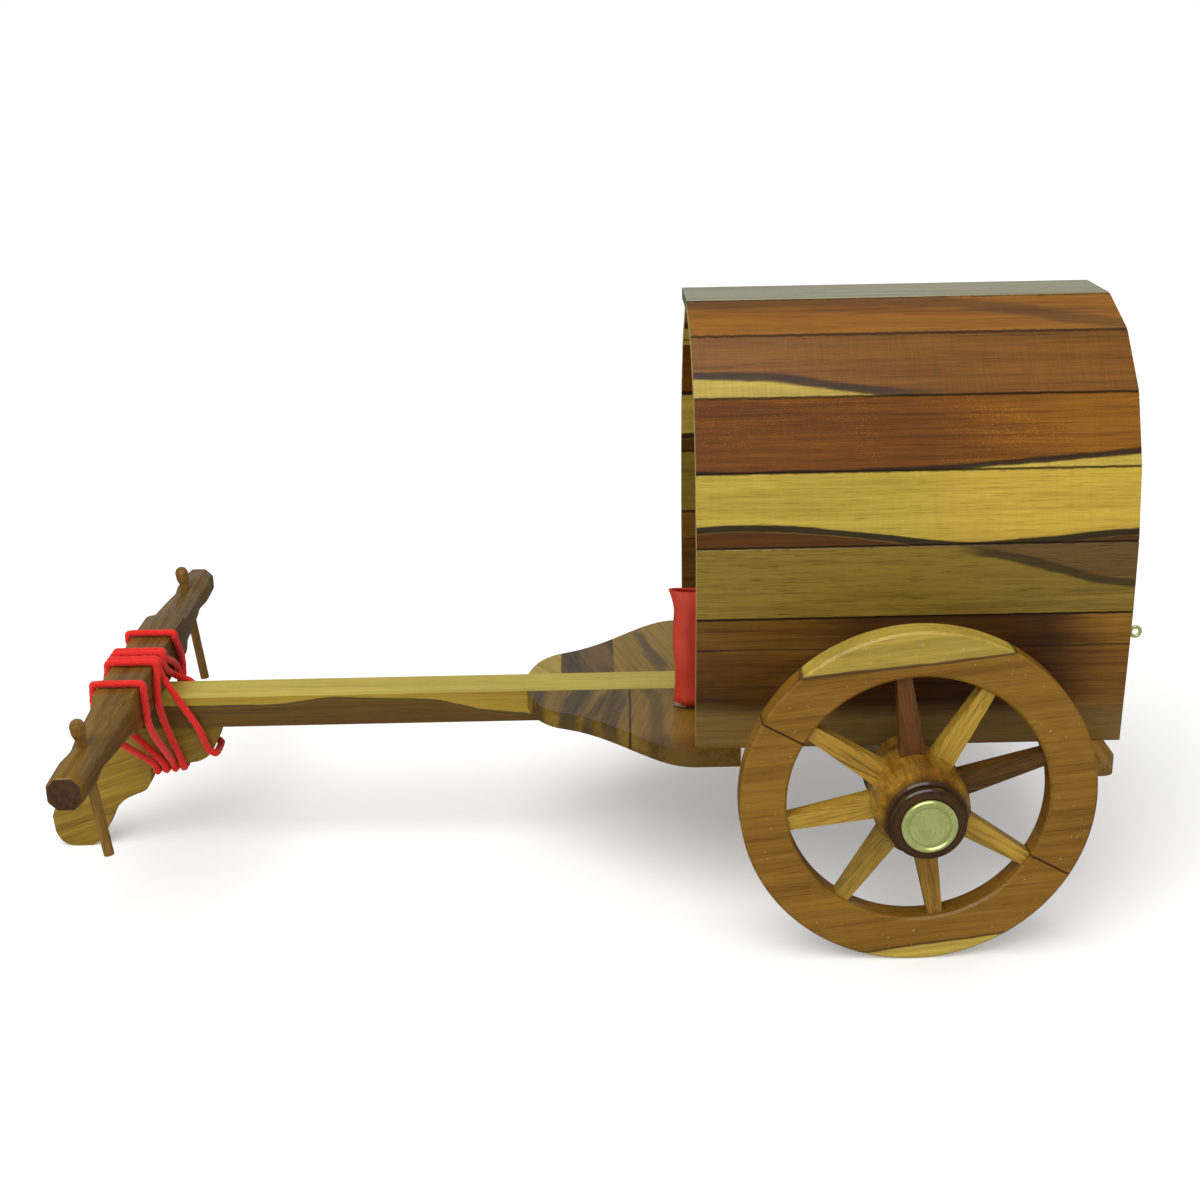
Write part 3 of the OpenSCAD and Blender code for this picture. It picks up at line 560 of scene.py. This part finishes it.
def brass():
    s = Sheet("brass_head")
    worn = s.noise(s.place, 260, 4, 0.6)
    spots = s.range(s.noise(s.place, 900, 3, 0.6), 0.66, 0.74)
    colour = s.ramp(worn, ((0.35, (0.56, 0.63, 0.20)), (0.7, (0.70, 0.76, 0.30))))
    r = s.from_axle()[2]
    ring = s.range(s.math("ABSOLUTE", s.math("SUBTRACT", r, 0.0050)), 0.0003, 0.0001)
    colour = s.mix(s.math("MULTIPLY", ring, 0.45), colour, (0.20, 0.20, 0.07))
    colour = s.mix(s.math("MULTIPLY", spots, 0.5), colour, (0.20, 0.16, 0.06))
    s.tree.links.new(colour, s.shader.inputs["Base Color"])
    s.shader.inputs["Metallic"].default_value = 0.55
    s.put(s.shader, "Roughness", s.range(worn, 0.3, 0.7, 0.20, 0.34))
    b = s.node("ShaderNodeBump", Height=s.noise(s.stretch((300, 300, 4000)), 1, 2), Strength=0.1, Distance=0.0001)
    s.tree.links.new(b.outputs[0], s.shader.inputs["Normal"])
    return s.mat


finishes["brass_left"] = finishes["brass_right"] = finishes["eyes"] = brass()


def cord_finish():
    """Twisted red string: U runs along it in metres and V round it."""
    s = Sheet("cord_red")
    uv = s.tree.nodes.new("ShaderNodeUVMap")
    uv.uv_map = "lay"
    run = s.node("ShaderNodeSeparateXYZ", Vector=uv.outputs[0])
    fibres = s.noise(s.node("ShaderNodeCombineXYZ", X=s.math("MULTIPLY", run.outputs[0], 500.0),
                            Y=s.math("MULTIPLY", run.outputs[1], 46.0)).outputs[0], 1, 2)
    worn = s.noise(s.place, 300, 2)
    colour = s.ramp(fibres, ((0.3, (0.66, 0.012, 0.008)), (0.55, (0.86, 0.018, 0.010)), (0.75, (0.95, 0.060, 0.035))))
    colour = s.mix(s.range(worn, 0.5, 0.75, 0.0, 0.3), colour, (0.55, 0.012, 0.010))
    s.tree.links.new(colour, s.shader.inputs["Base Color"])
    s.shader.inputs["Roughness"].default_value = 0.75
    s.shader.inputs["Specular IOR Level"].default_value = 0.25
    s.shader.inputs["Sheen Weight"].default_value = 0.15
    b = s.node("ShaderNodeBump", Height=fibres, Strength=0.6, Distance=0.00015)
    s.tree.links.new(b.outputs[0], s.shader.inputs["Normal"])
    return s.mat


cord_red = cord_finish()
for turn_name in ("wide", "mid", "hook"):
    finishes["lashing_" + turn_name] = cord_red


def leathercloth():
    s = Sheet("cover_red")
    grain = s.noise(s.place, 2600, 2, 0.5)
    creases = s.noise(s.stretch((260, 260, 90)), 1, 2, 0.5, 0.4)
    colour = s.ramp(creases, ((0.25, (0.46, 0.022, 0.008)), (0.6, (0.57, 0.040, 0.013)), (0.85, (0.66, 0.075, 0.026))))
    s.tree.links.new(colour, s.shader.inputs["Base Color"])
    s.put(s.shader, "Roughness", s.range(grain, 0.3, 0.7, 0.36, 0.46))
    s.shader.inputs["Coat Weight"].default_value = 0.25
    s.shader.inputs["Coat Roughness"].default_value = 0.22
    b = s.node("ShaderNodeBump", Height=s.math("ADD", s.math("MULTIPLY", grain, 0.4), creases), Strength=0.25,
               Distance=0.0004)
    s.tree.links.new(b.outputs[0], s.shader.inputs["Normal"])
    return s.mat


def cloth_back():
    s = Sheet("cover_cloth_back")
    threads = s.math("MULTIPLY", s.math("SINE", s.math("MULTIPLY", s.z, 12000.0)),
                     s.math("SINE", s.math("MULTIPLY", s.math("ADD", s.x, s.y), 12000.0)))
    soil = s.noise(s.place, 300, 3)
    colour = s.ramp(soil, ((0.3, (0.55, 0.42, 0.36)), (0.7, (0.80, 0.72, 0.66))))
    s.tree.links.new(colour, s.shader.inputs["Base Color"])
    s.shader.inputs["Roughness"].default_value = 0.9
    b = s.node("ShaderNodeBump", Height=threads, Strength=0.3, Distance=0.0001)
    s.tree.links.new(b.outputs[0], s.shader.inputs["Normal"])
    return s.mat


finishes["cover"] = leathercloth()

for name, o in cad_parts.items():
    o.data.materials.clear()
    o.data.materials.append(finishes[name])


# ---- the lashing -------------------------------------------------------------

# In millimetres, X from the axle, as in part.scad.
CORD_R = 1.05                                   # half the string's thickness
YOKE_X, YOKE_Z, YOKE = 207.0, 52.5, 11.4        # the yoke's place and the side of its squared middle
PROP_T, PROP_NOSE = 7.0, 236.6
POLE_W, POLE_UNDER, DECK_TOP = 13.2, 37.8, 46.8
LASH_X, LASH_P = PROP_NOSE - 31.8, 2.55         # the first pass under the prop and the step to the next
# In metres.
STRAND_R, LAY = 0.00105, 0.0075                 # the string's radius and the length of one twist
STRANDS, SIDES = 3, 24                          # strands in the string and corners round it


def over(y, y_low):
    """One pass over the squared middle of the yoke."""
    a, r, k = YOKE / 2, CORD_R, CORD_R * 0.82
    path = [(-a - r, y_low, -a + 0.5), (-a - r, y, a - 0.5), (-a - k, y, a + k), (-a + 0.5, y, a + r), (0, y, a + r),
            (a - 0.5, y, a + r), (a + k, y, a + k), (a + r, y, a - 0.5), (a + r, y_low, -a + 0.5)]
    return [(YOKE_X + x, yy, YOKE_Z + z) for x, yy, z in path]


def round_edge(c, m, s):
    """Under the prop board, from one side edge to the other."""
    r, h = CORD_R, PROP_T / 2
    path = [(s * (h + r), -1), (s * (h + 0.7 * r), 0.7 * r), (s * (h - 1), r), (-s * (h - 1), r),
            (-s * (h + 0.7 * r), 0.7 * r), (-s * (h + r), -1)]
    return [(c[0] + q * m[0], y, c[1] + q * m[1]) for y, q in path]


def under(x, s):
    return round_edge((x, 24 + (PROP_NOSE - 29.8 - x) * 0.139), (-0.14, -0.99), s)


def turn(y, y_low, y2, y2_low, front, rear):
    return over(y, y_low) + under(front, 1) + over(y2, y2_low)[::-1] + under(rear, -1)


def hook_turn():
    a, r, y = YOKE / 2, CORD_R, 8.2
    y2, w, c, m = y - 4.3, POLE_W / 2 + r + 0.25, (PROP_NOSE - 48.4, 29.2), (-0.84, -0.54)
    first = [(c[0] + 2.8, w, POLE_UNDER + 0.5), (c[0] + 6.9, w + 0.2, DECK_TOP - 1)]
    top = [(-a - r, y + 0.1, a - 2), (-a - 0.8 * r, y, a + 0.8 * r), (-a + 0.5, y, a + r), (a - 0.5, y, a + r),
           (a + 0.8 * r, y - 0.4, a + 0.8 * r), (a + r, y - 1, a - 0.8), (a + r, y2 + 1, a - 0.8),
           (a + 0.8 * r, y2 + 0.4, a + 0.8 * r), (a - 0.5, y2, a + r), (-a + 0.5, y2, a + r),
           (-a - 0.8 * r, y2 - 0.3, a + 0.8 * r), (-a - r, y2 - 0.6, a - 2), (-a - r, -w - 0.2, -a + 1.6)]
    last = [(c[0] + 6.9, -w, DECK_TOP - 1), (c[0] + 2.8, -w, POLE_UNDER + 0.5)]
    return first + [(YOKE_X + x, yy, YOKE_Z + z) for x, yy, z in top] + last + round_edge(c, m, -1)


def between(u, v, start, end, at):
    """The point between u and v that `at` reaches between `start` and `end`."""
    return u * ((end - at) / (end - start)) + v * ((at - start) / (end - start))


def smooth(points, step=0.00035):
    """A smooth closed line through the points, in even steps."""
    p = [Vector((x / 1000 + AXLE_X, y / 1000, z / 1000)) for x, y, z in points]
    n, line = len(p), []
    for i in range(n):
        q = [p[(i + k) % n] for k in (-1, 0, 1, 2)]
        t = [0.0]
        for u, v in zip(q, q[1:]):
            t.append(t[-1] + max((v - u).length, 1e-5) ** 0.5)
        count = max(2, round((q[2] - q[1]).length / (step / 4)))
        for k in range(count):
            a = t[1] + (t[2] - t[1]) * k / count
            b = [between(q[j], q[j + 1], t[j], t[j + 1], a) for j in range(3)]
            c = [between(b[j], b[j + 1], t[j], t[j + 2], a) for j in range(2)]
            line.append(between(c[0], c[1], t[1], t[2], a))
    runs = [0.0]
    for u, v in zip(line, line[1:] + line[:1]):
        runs.append(runs[-1] + (v - u).length)
    total, even, k = runs[-1], [], 0
    rings = round(total / step)
    for i in range(rings):
        at = total * i / rings
        while runs[k + 1] < at:
            k += 1
        f = (at - runs[k]) / max(runs[k + 1] - runs[k], 1e-9)
        even.append(line[k].lerp(line[(k + 1) % len(line)], f))
    return even, total


def string(name, points, node):
    """Three strands laid up into one string, round a closed line."""
    line, total = smooth(points)
    n, sides = len(line), SIDES
    side = Vector((0, 0, 1)).cross(line[1] - line[0]).normalized()
    frames = []
    for i in range(n):
        ahead = (line[(i + 1) % n] - line[i - 1]).normalized()
        side = (side - ahead * side.dot(ahead)).normalized()
        frames.append((side, ahead.cross(side)))
    ahead = (line[1] - line[-1]).normalized()
    last = (side - ahead * side.dot(ahead)).normalized()
    drift = math.atan2(last.dot(frames[0][1]), last.dot(frames[0][0]))
    lays, per = round(total / LAY), SIDES / STRANDS
    verts, faces, lay = [], [], []
    for i, (at, (u, v)) in enumerate(zip(line, frames)):
        twist = 2 * math.pi * lays * i / n - drift * i / n
        for k in range(sides):
            b = 2 * math.pi * k / sides
            r = STRAND_R * (0.955 + 0.045 * math.cos(STRANDS * b))
            verts.append(at + (u * math.cos(b + twist) + v * math.sin(b + twist)) * r)
    for i in range(n):
        for k in range(sides):
            i2, k2 = (i + 1) % n, (k + 1) % sides
            faces.append((i * sides + k, i * sides + k2, i2 * sides + k2, i2 * sides + k))
            lay += [(i * total / n, k / per), (i * total / n, (k + 1) / per), ((i + 1) * total / n, (k + 1) / per),
                    ((i + 1) * total / n, k / per)]
    mesh = bpy.data.meshes.new(name)
    mesh.from_pydata(verts, [], faces)
    layer = mesh.uv_layers.new(name="lay")
    for loop, uv in zip(layer.data, lay):
        loop.uv = uv
    o = bpy.data.objects.new(name, mesh)
    scene.collection.objects.link(o)
    bpy.ops.object.select_all(action="DESELECT")
    o.select_set(True)
    bpy.context.view_layer.objects.active = o
    bpy.ops.object.mode_set(mode="EDIT")
    bpy.ops.mesh.select_all(action="SELECT")
    bpy.ops.mesh.normals_make_consistent(inside=False)
    bpy.ops.object.mode_set(mode="OBJECT")
    bpy.ops.object.shade_smooth()
    mesh.materials.append(cord_red)
    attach(o, "cart")
    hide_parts(node)


string("string_wide", turn(26.5, 25, -13.5, -19.6, LASH_X, LASH_X - 2 * LASH_P), "lashing_wide")
string("string_mid", turn(10.6, 12.2, 1.4, -13.7, LASH_X - LASH_P, LASH_X - 3 * LASH_P), "lashing_mid")
string("string_hook", hook_turn(), "lashing_hook")


# ---- the yoke ----------------------------------------------------------------

def yoke_beam():
    """A squared stick with its two arms cut to eight sides and sawn off square."""
    half, arm = YOKE / 2000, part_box("yoke")[1][1]
    middle = 0.030              # half the length of the squared part
    flat, from_middle = 0.0022, 0.0335
    bpy.ops.object.select_all(action="DESELECT")
    bpy.ops.mesh.primitive_cube_add(size=1, location=(AXLE_X + YOKE_X / 1000, 0, YOKE_Z / 1000))
    o = bpy.context.object
    o.name = o.data.name = "yoke_beam"
    o.scale = (2 * half, 2 * middle, 2 * half)
    bpy.ops.object.transform_apply(location=True, rotation=False, scale=True)
    centre = Vector((AXLE_X + YOKE_X / 1000, 0, YOKE_Z / 1000))
    # How far out, and how wide as a share of the middle.
    steps = ((0.034, 0.96), (0.046, 0.88), (0.0555, 0.79), (0.0595, 0.73), (0.0640, 0.74), (0.0690, 0.81),
             (arm - 0.0008, 0.78), (arm, 0.72))
    for way in (-1, 1):
        at, wide = middle, 1.0
        for y, w in steps:
            bpy.ops.object.mode_set(mode="EDIT")
            bpy.ops.mesh.select_all(action="DESELECT")
            bpy.ops.object.mode_set(mode="OBJECT")
            for f in o.data.polygons:
                f.select = f.normal.y * way > 0.9 and abs(f.center.y - way * at) < 1e-5
            bpy.ops.object.mode_set(mode="EDIT")
            bpy.ops.mesh.select_mode(type="FACE")
            bpy.ops.mesh.extrude_region_move(TRANSFORM_OT_translate={"value": (0, way * (y - at), 0)})
            bpy.ops.transform.resize(value=(w / wide, 1, w / wide), center_override=(centre.x, way * y, centre.z))
            bpy.ops.object.mode_set(mode="OBJECT")
            at, wide = y, w
    bpy.ops.object.mode_set(mode="EDIT")
    bpy.ops.mesh.select_mode(type="EDGE")
    bpy.ops.mesh.select_all(action="DESELECT")
    bpy.ops.object.mode_set(mode="OBJECT")
    for e in o.data.edges:
        a, b = (o.data.vertices[v].co for v in e.vertices)
        e.select = abs(a.y - b.y) > 1e-4 and min(abs(a.y), abs(b.y)) > from_middle
    bpy.ops.object.mode_set(mode="EDIT")
    bpy.ops.mesh.bevel(offset=flat, offset_type="OFFSET", segments=1, affect="EDGES")
    bpy.ops.object.mode_set(mode="OBJECT")
    soft = o.modifiers.new("soft_edges", "BEVEL")
    soft.width, soft.segments, soft.limit_method, soft.angle_limit = 0.0004, 2, "ANGLE", math.radians(25)
    bpy.ops.object.modifier_apply(modifier=soft.name)
    bpy.ops.object.shade_smooth_by_angle(angle=math.radians(35))
    o.data.materials.append(finishes["yoke"])
    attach(o, "cart")
    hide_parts("yoke")


yoke_beam()


# ---- the red cover strip -----------------------------------------------------

def cover_strip():
    """A strip of leathercloth folded to a U; its white cloth back shows only at its frayed front foot."""
    low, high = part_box("cover")
    mid, half = (low[1] + high[1]) / 2, (high[1] - low[1]) / 2
    nose, back, foot, top = high[0], low[0], low[2], high[2]
    section = [(back + (nose - half - back) * i / 6, mid - half) for i in range(6)]
    for i in range(17):
        bend = math.pi * i / 16
        section.append((nose - half + half * math.sin(bend), mid - half * math.cos(bend)))
    section += [(nose - half - (nose - half - back) * i / 6, mid + half) for i in range(1, 7)]
    rows, thick, tucked = 40, 0.0007, 0.09
    verts, faces = [], []
    for j in range(rows + 1):
        f = j / rows
        z = foot + (top - foot) * f
        for i, (x, y) in enumerate(section):
            g = i / (len(section) - 1)
            flare = max(0.0, (f - 0.80) / 0.20) ** 1.6
            wave = 0.00025 * math.sin(f * 9 + g * 5)
            front = max(0.0, (x - back) / (nose - back))
            px = x - 0.0016 * front + 0.0016 * front * flare + wave
            shut = max(0.0, (f - 0.70) / 0.30) ** 1.5
            py = mid + (y - mid) * (0.93 - 0.48 * shut) - 0.0004 * shut + 0.0002 * math.sin(f * 14 + g * 3)
            pz = z - (0.0009 * (1 - front) * flare)
            if f < tucked and y > mid:
                tuck = (tucked - f) / tucked
                py -= 0.0030 * tuck ** 1.3 * (0.35 + 0.65 * front)
                pz += 0.0018 * tuck * (1 - front)
            verts.append((px, py, pz))
    w = len(section)
    for j in range(rows):
        for i in range(w - 1):
            a = j * w + i
            faces.append((a, a + 1, a + w + 1, a + w))
    mesh = bpy.data.meshes.new("cover_strip")
    mesh.from_pydata(verts, [], faces)
    o = bpy.data.objects.new("cover_strip", mesh)
    scene.collection.objects.link(o)
    bpy.ops.object.select_all(action="DESELECT")
    o.select_set(True)
    bpy.context.view_layer.objects.active = o
    mesh.materials.append(finishes["cover"])
    mesh.materials.append(cloth_back())
    wall = o.modifiers.new("wall", "SOLIDIFY")
    wall.thickness, wall.offset = thick, -1
    wall.material_offset_rim = 1
    bpy.ops.object.modifier_apply(modifier=wall.name)
    for face in mesh.polygons:
        at_foot = face.center.z < foot + 0.003 and face.center.x > nose - 0.0062 and face.center.y > mid - 0.001
        frayed = face.center.z < foot + 0.0014 and face.center.x > nose - 0.0052 and face.center.y > mid - 0.001
        face.material_index = 1 if (face.material_index == 1 and at_foot) or frayed else 0
    bpy.ops.object.shade_smooth_by_angle(angle=math.radians(40))
    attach(o, "cart")
    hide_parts("cover")


cover_strip()


# ---- the floor's finish -------------------------------------------------------

def pale_floor():
    """Nearly white when seen straight, dull in reflections."""
    pale = Sheet("floor_pale")
    pale.shader.inputs["Base Color"].default_value = (0.84, 0.84, 0.83, 1)
    pale.shader.inputs["Roughness"].default_value = 0.9
    pale.shader.inputs["Specular IOR Level"].default_value = 0.0
    glow = pale.node("ShaderNodeEmission", Strength=by_ray(pale.tree, 0.25, 0.0, 0.0))
    dull = pale.node("ShaderNodeBsdfDiffuse", Color=(0.10, 0.10, 0.09, 1))
    which = pale.tree.nodes.new("ShaderNodeMixShader")
    pale.tree.links.new(by_ray(pale.tree, 0.0, 1.0, 0.0), which.inputs[0])
    pale.tree.links.new(pale.shader.outputs[0], which.inputs[1])
    pale.tree.links.new(dull.outputs[0], which.inputs[2])
    both = pale.tree.nodes.new("ShaderNodeAddShader")
    pale.tree.links.new(which.outputs[0], both.inputs[0])
    pale.tree.links.new(glow.outputs[0], both.inputs[1])
    pale.tree.links.new(both.outputs[0], pale.tree.nodes["Material Output"].inputs[0])
    return pale.mat


floor.data.materials.append(pale_floor())
